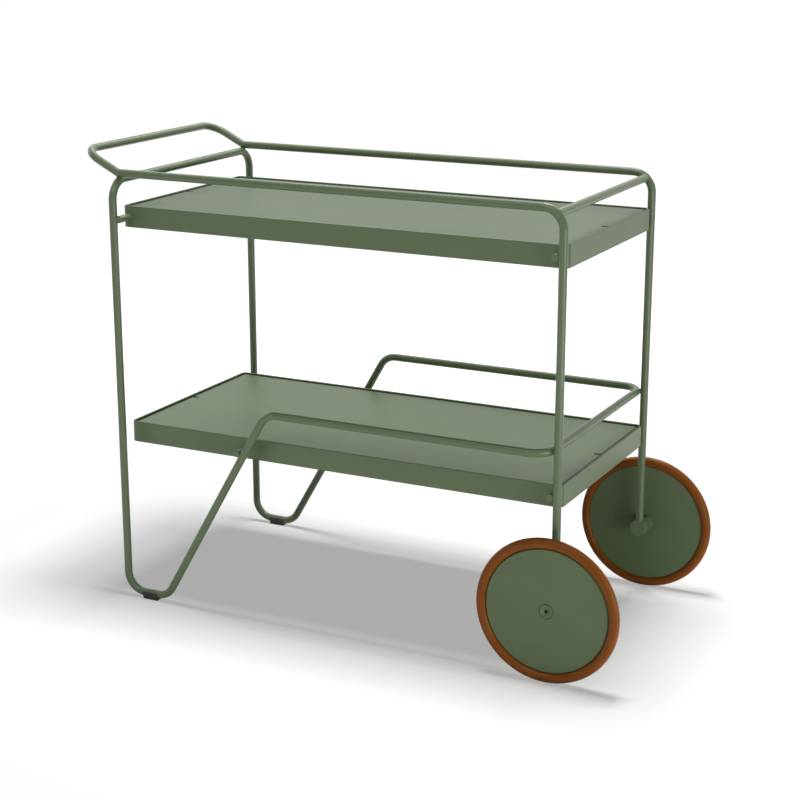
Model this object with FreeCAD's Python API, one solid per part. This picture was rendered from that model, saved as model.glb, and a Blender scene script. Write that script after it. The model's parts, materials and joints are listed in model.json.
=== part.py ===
import FreeCAD, Part
import math
import os

# A two-tray outdoor bar cart of bent tube and folded sheet, all sizes in millimetres.
# X runs from the push handle (-X) to the wheels (+X), Z is up from the floor, and Y = 0 is the plane
# of symmetry. The near side is -Y. The origin lies on the floor at the middle of the cart's outline.

# Tube frame
tube_d = 14.0
tube_wall = 1.5
bend_radius = 35.0
weld_gap = 0.05
side_step = 20.0
guard_height = 59.0
handle_reach = 71.0
handle_rise = 35.5
crossbar_lean = 42.0
bridge_stub = 12.0
rail_stub = 24.0

# Feet
strut_angle = 60.0
foot_flat = 29.5
glide_length = 31.0
glide_thickness = 4.0
glide_wall = 1.8
glide_width = 12.0
glide_wrap = 3.0
glide_stud_d = 5.0
glide_stud_height = 3.0

# Trays
tray_length = 840.0
tray_width = 390.0
tray_height = 38.0
tray_corner = 10.5
rim_wall = 4.0
rim_edge = 1.5
panel_sheet = 1.5
panel_recess = 2.3
panel_gap = 3.6
skirt_height = 6.5
ledge_sheet = 1.5
ledge_width = 10.0
lower_tray_top = 325.0
tray_spacing = 394.0
rail_clearance = 6.0
drain_length = 11.5
drain_width = 7.0

# Tray pegs and the screws that hold the trays to them
peg_d = 13.0
peg_bite = 1.2
peg_overhang = 3.0
peg_edge = 1.0
screw_d = 5.0
screw_grip = 11.0
screw_head_d = 8.6
screw_head_height = 2.7
screw_socket = 3.0
screw_socket_depth = 1.6
thread_clearance = 0.05
hole_clearance = 0.3
washer_d = 9.0
washer_thickness = 1.0
washer_margin = 1.3

# Wheels
wheel_d = 250.0
tyre_d = 18.0
tyre_rib_width = 4.0
tyre_rib_depth = 6.0
tyre_seat = 0.8
disc_thickness = 8.0
hub_d = 30.0
hub_length = 19.7

# Axles
boss_d = 30.0
boss_length = 14.0
boss_edge = 1.0
bolt_head_d = 25.0
bolt_head_height = 3.5
bolt_head_clearance = 0.4
bolt_socket = 5.0
bolt_socket_depth = 9.0
axle_d = 12.0
axle_clearance = 0.05
axle_thread_d = 10.0
axle_thread_length = 10.0
axle_hole_spare = 0.5
bush_wall = 2.0
bush_length = 9.0
bush_flange_d = 24.0
bush_flange = 1.5
thrust_washer_d = 26.0
thrust_washer = 1.5
running_gap = 0.3

# Places that follow from the sizes above
tube_r = tube_d / 2
nested = tube_d + bend_radius + weld_gap
nest_offset = math.sqrt(nested ** 2 - (bend_radius - side_step) ** 2) - bend_radius

upper_tray_top = lower_tray_top + tray_spacing
rail_z = upper_tray_top + guard_height
lower_rail_z = lower_tray_top + guard_height
bridge_z = rail_z - nest_offset
foot_z = glide_thickness + tube_r
axle_z = wheel_d / 2

rail_y = tray_width / 2 + rail_clearance + tube_r
side_y = rail_y + side_step
tray_wall_y = tray_width / 2

peg_offset = tube_r + peg_d / 2 - peg_bite
leg_reach = tray_length / 2 - tray_corner - washer_margin - washer_d / 2 + peg_offset
tray_x = (handle_reach + tube_r - axle_z) / 2
handle_leg_x = tray_x - leg_reach
wheel_x = tray_x + leg_reach
end_bar_x = wheel_x - nest_offset

strut_slope = math.radians(strut_angle)
strut_foot_x = handle_leg_x + bend_radius + foot_flat + bend_radius * math.tan(strut_slope / 2)
strut_top_x = strut_foot_x + (lower_rail_z - foot_z) / math.tan(strut_slope)
strut_end_x = strut_top_x + bend_radius * math.tan(strut_slope / 2) + rail_stub

boss_inner = rail_y - boss_length / 2
boss_outer = rail_y + boss_length / 2
inner_flange_face = boss_outer + thrust_washer + running_gap
hub_inner = inner_flange_face + bush_flange
disc_inner = hub_inner + hub_length
disc_outer = disc_inner + disc_thickness
bolt_seat = disc_outer - bolt_head_height
outer_flange_face = bolt_seat - running_gap
hub_outer = outer_flange_face - bush_flange
wheel_y = (disc_inner + disc_outer) / 2
tyre_r = axle_z - tyre_d / 2
disc_r = tyre_r - tyre_d / 2 + tyre_seat

NEAR = -1
FAR = 1
SIDES = {"near": NEAR, "far": FAR}
CROSSWISE = FreeCAD.Vector(0, 1, 0)
UP = FreeCAD.Vector(0, 0, 1)


def point(x, y, z):
    """Return one place in the cart's frame."""
    return FreeCAD.Vector(x, y, z)


def bent_path(points):
    """Return the centre line of a tube: straight runs, with each inner corner bent to the radius."""
    edges = []
    run_start = points[0]
    for before, corner, after in zip(points, points[1:], points[2:]):
        way_in = (corner - before).normalize()
        way_out = (after - corner).normalize()
        half_turn = way_in.getAngle(way_out) / 2
        bend_start = corner - way_in * bend_radius * math.tan(half_turn)
        bend_end = corner + way_out * bend_radius * math.tan(half_turn)
        inward = (way_out - way_in).normalize()
        bend_middle = corner + inward * bend_radius * (1 / math.cos(half_turn) - 1)
        edges.append(Part.LineSegment(run_start, bend_start).toShape())
        edges.append(Part.Arc(bend_start, bend_middle, bend_end).toShape())
        run_start = bend_end
    edges.append(Part.LineSegment(run_start, points[-1]).toShape())
    return Part.Wire(edges)


def bar(path, radius):
    """Return a solid round bar of the radius along the path."""
    first = path.OrderedEdges[0]
    start = first.valueAt(first.FirstParameter)
    section = Part.Circle(start, first.tangentAt(first.FirstParameter), radius)
    return path.makePipeShell([Part.Wire(section.toShape())], True, False)


def tube(path):
    """Return the frame's tube along the path."""
    return bar(path, tube_r).cut(bar(path, tube_r - tube_wall))


def beyond(place, normal):
    """Return a block that fills the side of a plane that its normal points to."""
    size = tray_length
    block = Part.makeBox(size, size, size, point(-size / 2, -size / 2, 0))
    block.Placement = FreeCAD.Placement(place, FreeCAD.Rotation(UP, normal))
    return block


def crosswise_rod(x, z, side, inner, outer, diameter):
    """Return a rod along Y on one side of the cart, between two distances from the middle plane."""
    return Part.makeCylinder(diameter / 2, outer - inner, point(x, side * inner, z), CROSSWISE * side)


def axle_rod(side, diameter, inner, outer):
    """Return a rod about one wheel's axle, between two distances from the middle plane."""
    return crosswise_rod(wheel_x, axle_z, side, inner, outer, diameter)


def hex_pocket(x, z, side, inner, outer, across_flats):
    """Return the space of a hexagon socket along Y."""
    corner_r = across_flats / math.sqrt(3)
    turns = [math.radians(60 * step) for step in range(7)]
    outline = [point(x + corner_r * math.cos(a), side * inner, z + corner_r * math.sin(a)) for a in turns]
    return Part.Face(Part.makePolygon(outline)).extrude(CROSSWISE * side * (outer - inner))


def round_end(solid, y, radius):
    """Return the solid with the edges that lie in one crosswise plane rounded."""
    box = [edge.BoundBox for edge in solid.Edges]
    rims = [edge for edge, b in zip(solid.Edges, box) if abs(b.YMin - y) + abs(b.YMax - y) < weld_gap]
    return solid.makeFillet(radius, rims)


def square_plate(length, width, bottom, height):
    """Return a plate with square corners, centred on the trays."""
    return Part.makeBox(length, width, height, point(tray_x - length / 2, -width / 2, bottom))


def rounded_plate(length, width, corner, bottom, height):
    """Return a plate with rounded corners, centred on the trays."""
    plate = square_plate(length, width, bottom, height)
    upright = [edge for edge in plate.Edges if edge.BoundBox.ZLength > height / 2]
    return plate.makeFillet(corner, upright)


def rail_path(side):
    """Return the line of a top rail and the wheel leg that it turns down into."""
    return bent_path([
        point(handle_leg_x - tube_d, side * rail_y, rail_z),
        point(wheel_x, side * rail_y, rail_z),
        point(wheel_x, side * rail_y, axle_z),
    ])


def mitre_normal():
    """Return the normal of the joint between a rail and a handle arm, pointing to the handle."""
    along_rail = point(-1, 0, 0)
    along_arm = point(-handle_reach, 0, handle_rise).normalize()
    return (along_rail + along_arm).normalize()


def make_top_rail(side):
    """Return a top rail, mitred at the handle and notched over its axle boss."""
    rail = tube(rail_path(side))
    joint = point(handle_leg_x, side * rail_y, rail_z)
    rail = rail.cut(beyond(joint, mitre_normal()))
    return rail.cut(axle_rod(side, boss_d, boss_inner, boss_outer))


def make_push_handle():
    """Return the handle hoop: two rising arms and the bar between them."""
    arm = point(-handle_reach, 0, handle_rise)
    tail = point(-arm.x, 0, -arm.z).normalize() * tube_d
    near_joint = point(handle_leg_x, NEAR * rail_y, rail_z)
    far_joint = point(handle_leg_x, FAR * rail_y, rail_z)
    hoop = tube(bent_path([near_joint + tail, near_joint + arm, far_joint + arm, far_joint + tail]))
    middle = (near_joint + far_joint) / 2
    return hoop.cut(beyond(middle, mitre_normal() * -1))


def make_wheel_end_crossbar():
    """Return the crossbar between the two rails' bends, notched to fit their round."""
    lean = math.radians(crossbar_lean)
    x = wheel_x - bend_radius * (1 - math.sin(lean))
    z = rail_z - bend_radius * (1 - math.cos(lean))
    crossbar = tube(bent_path([point(x, NEAR * rail_y, z), point(x, FAR * rail_y, z)]))
    for side in SIDES.values():
        crossbar = crossbar.cut(bar(rail_path(side), tube_r + weld_gap))
    return crossbar


def make_leg_bridge():
    """Return the bar that joins the two handle legs under the rails."""
    foot = bridge_z - bend_radius - bridge_stub
    return tube(bent_path([
        point(handle_leg_x, NEAR * side_y, foot),
        point(handle_leg_x, NEAR * side_y, bridge_z),
        point(handle_leg_x, FAR * side_y, bridge_z),
        point(handle_leg_x, FAR * side_y, foot),
    ]))


def strut_path(side):
    """Return the line of a handle leg, its foot and the slanted strut up to the lower rail."""
    y = side * side_y
    return bent_path([
        point(handle_leg_x, y, bridge_z - bend_radius - bridge_stub),
        point(handle_leg_x, y, foot_z),
        point(strut_foot_x, y, foot_z),
        point(strut_top_x, y, lower_rail_z),
        point(strut_end_x, y, lower_rail_z),
    ])


def glide_place(side):
    """Return the middle of a foot's flat, on the tube's centre line."""
    return point(handle_leg_x + bend_radius + foot_flat / 2, side * side_y, foot_z)


def glide_stud(side, diameter):
    """Return the upright stud that keys a glide into its foot."""
    base = glide_place(side) - UP * tube_r
    return Part.makeCylinder(diameter / 2, glide_stud_height, base, UP)


def make_leg_strut(side):
    """Return a handle leg with its foot and strut, drilled below for the glide's stud."""
    return tube(strut_path(side)).cut(glide_stud(side, glide_stud_d + thread_clearance * 2))


def make_lower_rail_loop():
    """Return the lower guard rail, a hoop round the wheel end of the lower tray."""
    return tube(bent_path([
        point(strut_end_x, NEAR * side_y, lower_rail_z),
        point(end_bar_x, NEAR * side_y, lower_rail_z),
        point(end_bar_x, FAR * side_y, lower_rail_z),
        point(strut_end_x, FAR * side_y, lower_rail_z),
    ]))


def make_foot_glide(side):
    """Return the plastic saddle under a foot, with a flat sole and a stud into the tube."""
    middle = glide_place(side)
    start = middle - point(glide_length / 2, 0, 0)
    saddle = Part.makeCylinder(tube_r + glide_wall, glide_length, start, point(1, 0, 0))
    sole = Part.makeBox(glide_length, glide_width, foot_z, start - point(0, glide_width / 2, foot_z))
    top = middle + UP * glide_wrap
    glide = saddle.fuse(sole).cut(beyond(top, UP)).cut(bar(strut_path(side), tube_r))
    return glide.fuse(glide_stud(side, glide_stud_d)).removeSplitter()


def peg_places(top):
    """Return each peg's end of the cart with its X and Z, for the tray with this rim top."""
    z = top - tray_height / 2
    strut_x = strut_foot_x + (z - foot_z) / math.tan(strut_slope)
    on_leg = handle_leg_x + peg_offset
    on_strut = strut_x - peg_offset / math.sin(strut_slope)
    handle_end = on_leg if top == upper_tray_top else on_strut
    return {"handle": (handle_end, z), "wheel": (wheel_x - peg_offset, z)}


def make_tray_peg(side, end, x, z):
    """Return a peg welded beside a tube and tapped for a tray screw."""
    outer = (side_y if end == "handle" else rail_y) + peg_overhang
    carrier = strut_path(side) if end == "handle" else rail_path(side)
    peg = crosswise_rod(x, z, side, tray_wall_y, outer, peg_d)
    peg = round_end(peg, side * outer, peg_edge)
    thread_end = tray_wall_y + screw_grip - rim_wall - washer_thickness + hole_clearance
    thread = crosswise_rod(x, z, side, tray_wall_y, thread_end, screw_d + thread_clearance * 2)
    return peg.cut(bar(carrier, tube_r)).cut(thread)


def make_tray_rim(top):
    """Return a tray's upright band, drilled for its screws, with a softened top edge."""
    bottom = top - tray_height
    rim = rounded_plate(tray_length, tray_width, tray_corner, bottom, tray_height)
    hole_length = tray_length - rim_wall * 2
    hole_width = tray_width - rim_wall * 2
    rim = rim.cut(rounded_plate(hole_length, hole_width, tray_corner - rim_wall, bottom, tray_height))
    lips = [edge for edge in rim.Edges if edge.BoundBox.ZMin > top - rim_edge]
    rim = rim.makeFillet(rim_edge, lips)
    for side in SIDES.values():
        for x, z in peg_places(top).values():
            inner = tray_wall_y - rim_wall * 2
            rim = rim.cut(crosswise_rod(x, z, side, inner, tray_wall_y + rim_wall, screw_d + hole_clearance))
    return rim


def drain_slots(panel_length, margin, bottom, height):
    """Return the spaces of a panel's two drain slots, grown by a margin on their closed sides."""
    length = drain_length + margin
    width = drain_width + margin * 2
    handle_end = point(tray_x - panel_length / 2, -width / 2, bottom)
    wheel_end = point(tray_x + panel_length / 2 - length, -width / 2, bottom)
    return Part.makeCompound([Part.makeBox(length, width, height, low) for low in (handle_end, wheel_end)])


def panel_plate(inset, bottom, height):
    """Return a plate of a panel's outline, drawn in by an inset, with its drain slots open."""
    margin = rim_wall + panel_gap
    length = tray_length - margin * 2
    width = tray_width - margin * 2
    plate = rounded_plate(length - inset * 2, width - inset * 2, tray_corner - margin - inset, bottom, height)
    return plate.cut(drain_slots(length, inset, bottom, height))


def make_tray_panel(top):
    """Return a tray's sheet floor, a little below the rim and clear of it all round."""
    return panel_plate(0, top - panel_recess - panel_sheet, panel_sheet)


def make_tray_skirt(top):
    """Return the strip under a panel's edge, which also goes round its drain slots."""
    bottom = top - panel_recess - panel_sheet - skirt_height
    return panel_plate(0, bottom, skirt_height).cut(panel_plate(panel_sheet, bottom, skirt_height))


def make_tray_ledge(top):
    """Return the frame of flat strip inside a tray's rim that its skirt stands on."""
    length = tray_length - rim_wall * 2
    width = tray_width - rim_wall * 2
    bottom = top - panel_recess - panel_sheet - skirt_height - ledge_sheet
    ledge = rounded_plate(length, width, tray_corner - rim_wall, bottom, ledge_sheet)
    return ledge.cut(square_plate(length - ledge_width * 2, width - ledge_width * 2, bottom, ledge_sheet))


def make_tray_screw(side, x, z):
    """Return a button-head screw, put in from inside the tray."""
    seat = tray_wall_y - rim_wall - washer_thickness
    tip = seat + screw_grip
    head = crosswise_rod(x, z, side, seat - screw_head_height, seat, screw_head_d)
    head = round_end(head, side * (seat - screw_head_height), screw_head_height / 2)
    crown = seat - screw_head_height
    socket = hex_pocket(x, z, side, crown, crown + screw_socket_depth, screw_socket)
    shank = crosswise_rod(x, z, side, seat, tip, screw_d)
    return head.fuse(shank).removeSplitter().cut(socket)


def make_tray_washer(side, x, z):
    """Return the washer under a tray screw's head."""
    seat = tray_wall_y - rim_wall
    ring = crosswise_rod(x, z, side, seat - washer_thickness, seat, washer_d)
    hole = crosswise_rod(x, z, side, seat - washer_thickness, seat, screw_d + hole_clearance)
    return ring.cut(hole)


def make_axle_boss(side):
    """Return the round block at the foot of a wheel leg, tapped for the axle bolt."""
    boss = axle_rod(side, boss_d, boss_inner, boss_outer)
    boss = round_end(boss, side * boss_inner, boss_edge)
    hole_end = boss_outer - axle_thread_length - axle_hole_spare
    return boss.cut(axle_rod(side, axle_thread_d + thread_clearance * 2, hole_end, boss_outer))


def make_axle_bolt(side):
    """Return the shoulder bolt that a wheel turns on, its flat head level with the disc."""
    head = axle_rod(side, bolt_head_d, bolt_seat, disc_outer)
    shoulder = axle_rod(side, axle_d, boss_outer, bolt_seat)
    thread = axle_rod(side, axle_thread_d, boss_outer - axle_thread_length, boss_outer)
    bolt = head.fuse([shoulder, thread]).removeSplitter()
    socket_floor = disc_outer - bolt_socket_depth
    return bolt.cut(hex_pocket(wheel_x, axle_z, side, socket_floor, disc_outer, bolt_socket))


def make_thrust_washer(side):
    """Return the washer between an axle boss and its wheel."""
    ring = axle_rod(side, thrust_washer_d, boss_outer, boss_outer + thrust_washer)
    hole_d = axle_d + hole_clearance
    return ring.cut(axle_rod(side, hole_d, boss_outer, boss_outer + thrust_washer))


def make_bush(side, flange_face, into_hub):
    """Return a flanged bush; into_hub is the way from its flange into the hub, +1 outwards."""
    seat = flange_face + into_hub * bush_flange
    tip = seat + into_hub * bush_length
    flange = axle_rod(side, bush_flange_d, min(flange_face, seat), max(flange_face, seat))
    sleeve = axle_rod(side, axle_d + bush_wall * 2, min(seat, tip), max(seat, tip))
    bore_d = axle_d + axle_clearance * 2
    bore = axle_rod(side, bore_d, min(flange_face, tip), max(flange_face, tip))
    return flange.fuse(sleeve).removeSplitter().cut(bore)


def make_tyre(side):
    """Return the round rubber tyre, with the rib that holds it in the disc's edge."""
    centre = point(wheel_x, side * wheel_y, axle_z)
    ring = Part.makeTorus(tyre_r, tyre_d / 2, centre, CROSSWISE)
    rib_inner = wheel_y - tyre_rib_width / 2
    rib_outer = wheel_y + tyre_rib_width / 2
    rib = axle_rod(side, tyre_r * 2, rib_inner, rib_outer)
    rib = rib.cut(axle_rod(side, (disc_r - tyre_rib_depth) * 2, rib_inner, rib_outer))
    return ring.fuse(rib).removeSplitter()


def make_wheel_disc(side):
    """Return the wheel's flat disc with its hub, bored for the bushes and sunk for the bolt head."""
    disc = axle_rod(side, disc_r * 2, disc_inner, disc_outer)
    hub = axle_rod(side, hub_d, hub_inner, disc_inner)
    wheel = disc.fuse(hub).removeSplitter().cut(make_tyre(side))
    wheel = wheel.cut(axle_rod(side, axle_d + bush_wall * 2, hub_inner, hub_outer))
    sink_d = bolt_head_d + bolt_head_clearance * 2
    return wheel.cut(axle_rod(side, sink_d, hub_outer, disc_outer))


def tray_nodes(name, top):
    """Return one tray's pieces by node name: rim, panel, skirt, ledge, pegs, screws and washers."""
    places = peg_places(top)
    spots = [(side, x, z) for side in SIDES.values() for x, z in places.values()]
    nodes = {
        f"{name}_tray_rim": make_tray_rim(top),
        f"{name}_tray_panel": make_tray_panel(top),
        f"{name}_tray_skirt": make_tray_skirt(top),
        f"{name}_tray_ledge": make_tray_ledge(top),
        f"{name}_tray_screws": Part.makeCompound([make_tray_screw(*spot) for spot in spots]),
        f"{name}_tray_washers": Part.makeCompound([make_tray_washer(*spot) for spot in spots]),
    }
    for side_name, side in SIDES.items():
        for end, (x, z) in places.items():
            nodes[f"{side_name}_{name}_{end}_peg"] = make_tray_peg(side, end, x, z)
    return nodes


def side_nodes(name, side):
    """Return the pieces that each side of the cart has once, by node name."""
    return {
        f"{name}_top_rail": make_top_rail(side),
        f"{name}_leg_strut": make_leg_strut(side),
        f"{name}_foot_glide": make_foot_glide(side),
        f"{name}_axle_boss": make_axle_boss(side),
        f"{name}_axle_bolt": make_axle_bolt(side),
        f"{name}_thrust_washer": make_thrust_washer(side),
        f"{name}_inner_bush": make_bush(side, inner_flange_face, 1),
        f"{name}_outer_bush": make_bush(side, outer_flange_face, -1),
        f"{name}_wheel_disc": make_wheel_disc(side),
        f"{name}_tyre": make_tyre(side),
    }


def frame_nodes():
    """Return the tubes that run across the cart, by node name."""
    return {
        "push_handle": make_push_handle(),
        "wheel_end_crossbar": make_wheel_end_crossbar(),
        "leg_bridge": make_leg_bridge(),
        "lower_rail_loop": make_lower_rail_loop(),
    }


os.makedirs("parts", exist_ok=True)
cart = frame_nodes()
for side_name, side_sign in SIDES.items():
    cart.update(side_nodes(side_name, side_sign))
cart.update(tray_nodes("upper", upper_tray_top))
cart.update(tray_nodes("lower", lower_tray_top))
for node_name, shape in cart.items():
    shape.exportStep(f"parts/{node_name}.step")
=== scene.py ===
import json
import logging
import math
from collections.abc import Callable, Iterable
from dataclasses import dataclass
from enum import Enum

import bmesh
import bpy
from mathutils import Matrix, Vector


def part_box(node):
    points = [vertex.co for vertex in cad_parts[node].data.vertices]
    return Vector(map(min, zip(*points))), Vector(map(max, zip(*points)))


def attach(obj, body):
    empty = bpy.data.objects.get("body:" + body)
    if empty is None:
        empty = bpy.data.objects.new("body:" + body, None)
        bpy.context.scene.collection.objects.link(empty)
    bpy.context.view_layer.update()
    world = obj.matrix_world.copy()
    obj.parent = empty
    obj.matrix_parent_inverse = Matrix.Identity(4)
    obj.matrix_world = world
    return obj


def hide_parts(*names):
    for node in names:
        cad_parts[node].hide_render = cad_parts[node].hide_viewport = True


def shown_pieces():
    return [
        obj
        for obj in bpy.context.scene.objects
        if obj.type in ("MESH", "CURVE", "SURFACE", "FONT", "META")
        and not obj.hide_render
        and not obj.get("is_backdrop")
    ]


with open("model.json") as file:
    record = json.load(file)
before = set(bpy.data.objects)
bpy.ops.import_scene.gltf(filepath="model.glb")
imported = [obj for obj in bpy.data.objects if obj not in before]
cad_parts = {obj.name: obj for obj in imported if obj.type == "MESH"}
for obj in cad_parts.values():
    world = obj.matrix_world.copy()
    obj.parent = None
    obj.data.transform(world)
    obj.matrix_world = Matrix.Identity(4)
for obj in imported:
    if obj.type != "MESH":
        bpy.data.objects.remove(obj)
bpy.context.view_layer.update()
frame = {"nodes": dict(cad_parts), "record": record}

MM = 0.001
FRAME_BODY = "frame"
LOG = logging.getLogger("bar_cart")

# Points of a mesh that lie nearer than this are merged.
MERGE_GAP = 0.002 * MM
# Edges that turn by more than this are rounded, and edges past the crease look sharp.
SHARP_TURN = math.radians(40)
CREASE = math.radians(35)
# A face whose normal has more Z than this lies flat, and one with less stands upright.
LYING_FLAT = 0.5
# Nearly all values of a noise pattern lie between these two.
NOISE_LOW, NOISE_HIGH = 0.3, 0.7
# A mix node's colour sockets, by number, because its other types have sockets of the same names.
MIX_FIRST, MIX_SECOND, MIX_RESULT = 6, 7, 2


class Side(Enum):
    """The two long sides of the cart, with the sign of their Y."""

    NEAR = -1
    FAR = 1

    def node(self, piece: str) -> str:
        """The name of this side's node for a piece."""
        return f"{self.name.lower()}_{piece}"


class Level(Enum):
    """The two trays."""

    UPPER = "upper"
    LOWER = "lower"

    def node(self, piece: str) -> str:
        """The name of this tray's node for a piece."""
        return f"{self.value}_{piece}"


class Lit(Enum):
    """What a lamp lights, with the name of the collection that holds it."""

    CART = "cart_lit"
    EDGES = "edges_lit"
    SHELF = "shelf_lit"
    FLOOR = "floor_lit"


def linear(hex_colour: str) -> tuple[float, float, float, float]:
    """Turns an sRGB hex colour to linear light.

    Args:
        hex_colour: Six hex digits after a hash.

    Returns:
        Red, green, blue and a full alpha.
    """
    parts = [int(hex_colour[i:i + 2], 16) / 255 for i in (1, 3, 5)]
    red, green, blue = (c / 12.92 if c <= 0.04045 else ((c + 0.055) / 1.055) ** 2.4 for c in parts)
    return red, green, blue, 1.0


def add_node(tree: bpy.types.NodeTree, kind: str, settings: dict | None = None,
             sockets: dict | None = None) -> bpy.types.Node:
    """Adds a node to a tree with its settings and links.

    Args:
        tree: The tree of a material or of the world.
        kind: The node's type name.
        settings: Values of the node's own properties.
        sockets: Inputs by name or number, each a value or the output that feeds it.

    Returns:
        The new node.
    """
    node = tree.nodes.new(kind)
    for key, value in (settings or {}).items():
        setattr(node, key, value)
    for key, value in (sockets or {}).items():
        if isinstance(value, bpy.types.NodeSocket):
            tree.links.new(value, node.inputs[key])
        else:
            node.inputs[key].default_value = value
    return node


def empty_tree(owner: bpy.types.Material | bpy.types.World) -> bpy.types.NodeTree:
    """Gives a material or the world an empty node tree.

    Args:
        owner: The material or the world.

    Returns:
        The tree.
    """
    owner.use_nodes = True
    owner.node_tree.nodes.clear()
    return owner.node_tree


def middle(node: str) -> Vector:
    """The middle of a CAD node's box."""
    low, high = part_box(node)
    return (Vector(low) + Vector(high)) / 2


def extent(node: str) -> Vector:
    """The three sides of a CAD node's box."""
    low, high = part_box(node)
    return Vector(high) - Vector(low)


def from_middle(node: str) -> tuple[float, float]:
    """Measures how far across the cart a CAD node's box starts and ends.

    Args:
        node: The node, which lies on one side of the cart.

    Returns:
        The nearest and the furthest distance from the upright plane along the cart's middle.
    """
    low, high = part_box(node)
    return min(abs(low.y), abs(high.y)), max(abs(low.y), abs(high.y))


def tube_radius() -> float:
    """The radius of the frame's tubes, from the straight crossbar's box."""
    return extent("wheel_end_crossbar").z / 2


def axle_distance(tree: bpy.types.NodeTree, place: bpy.types.NodeSocket) -> bpy.types.NodeSocket:
    """How far a spot lies from the axle that the two wheels share.

    Args:
        tree: The material's tree.
        place: Object coordinates.

    Returns:
        The socket that gives the distance.
    """
    hub = middle(Side.NEAR.node("tyre"))
    centred = add_node(tree, "ShaderNodeMapping", None, {
        "Vector": place, "Location": (-hub.x, 0.0, -hub.z), "Scale": (1.0, 0.0, 1.0)})
    reach = add_node(tree, "ShaderNodeVectorMath", {"operation": "LENGTH"}, {
        0: centred.outputs["Vector"]})
    return reach.outputs["Value"]


@dataclass(frozen=True)
class Finish:
    """A material of the cart and how its surface was made.

    The colour drifts between two near tones in wide patches, the gloss drifts in its own patches,
    and a fine grain lifts the surface. The gloss is given as the roughness of the glossiest and of
    the dullest patches.
    """

    title: str
    slot: str
    colour: str
    drift: str
    patch_mm: float
    gloss: tuple[float, float]
    gloss_mm: float
    grain_mm: float
    grain_height_mm: float
    metallic: float = 0.0
    ior: float = 1.5
    specular: float = 0.5
    patch_detail: float = 3.0
    patch_roughness: float = 0.55
    gloss_detail: float = 2.0
    grain_detail: float = 2.0
    grain_roughness: float = 0.4

    def material(self) -> bpy.types.Material:
        """The finish's material, made when it is first asked for."""
        return bpy.data.materials.get(self.title) or self.build()

    def build(self) -> bpy.types.Material:
        """Makes the material's nodes.

        Returns:
            The new material.
        """
        made = bpy.data.materials.new(self.title)
        tree = empty_tree(made)
        place = add_node(tree, "ShaderNodeTexCoord").outputs["Object"]
        bump = add_node(tree, "ShaderNodeBump", None, {
            "Strength": 1.0, "Distance": self.grain_height_mm * MM,
            "Height": self.grain(tree, place)})
        shader = add_node(tree, "ShaderNodeBsdfPrincipled", None, {
            "Base Color": self.tone(tree, place), "Roughness": self.dullness(tree, place),
            "Metallic": self.metallic, "Normal": bump.outputs["Normal"]})
        if not self.metallic:
            shader.inputs["IOR"].default_value = self.ior
            shader.inputs["Specular IOR Level"].default_value = self.specular
        add_node(tree, "ShaderNodeOutputMaterial", None, {"Surface": shader.outputs["BSDF"]})
        return made

    def tone(self, tree: bpy.types.NodeTree, place: bpy.types.NodeSocket) -> bpy.types.NodeSocket:
        """The colour, drifting between two tones in wide patches.

        Args:
            tree: The material's tree.
            place: Object coordinates.

        Returns:
            The socket that gives the colour.
        """
        patches = add_node(tree, "ShaderNodeTexNoise", None, {
            "Vector": place, "Scale": 1 / (self.patch_mm * MM), "Detail": self.patch_detail,
            "Roughness": self.patch_roughness})
        spread = add_node(tree, "ShaderNodeMapRange", None, {
            "Value": patches.outputs["Fac"], "From Min": NOISE_LOW, "From Max": NOISE_HIGH})
        blend = add_node(tree, "ShaderNodeMix", {"data_type": "RGBA"}, {
            "Factor": spread.outputs["Result"], MIX_FIRST: linear(self.colour),
            MIX_SECOND: linear(self.drift)})
        return blend.outputs[MIX_RESULT]

    def dullness(self, tree: bpy.types.NodeTree,
                 place: bpy.types.NodeSocket) -> bpy.types.NodeSocket:
        """The roughness, between the glossiest and the dullest patches.

        Args:
            tree: The material's tree.
            place: Object coordinates.

        Returns:
            The socket that gives the roughness.
        """
        patches = add_node(tree, "ShaderNodeTexNoise", None, {
            "Vector": place, "Scale": 1 / (self.gloss_mm * MM), "Detail": self.gloss_detail})
        spread = add_node(tree, "ShaderNodeMapRange", None, {
            "Value": patches.outputs["Fac"], "From Min": NOISE_LOW, "From Max": NOISE_HIGH,
            "To Min": self.gloss[0], "To Max": self.gloss[1]})
        return spread.outputs["Result"]

    def grain(self, tree: bpy.types.NodeTree, place: bpy.types.NodeSocket) -> bpy.types.NodeSocket:
        """The height of the surface's fine grain.

        Args:
            tree: The material's tree.
            place: Object coordinates.

        Returns:
            The socket that gives the height, from 0 to 1.
        """
        grain = add_node(tree, "ShaderNodeTexNoise", None, {
            "Vector": place, "Scale": 1 / (self.grain_mm * MM), "Detail": self.grain_detail,
            "Roughness": self.grain_roughness})
        return grain.outputs["Fac"]


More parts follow.
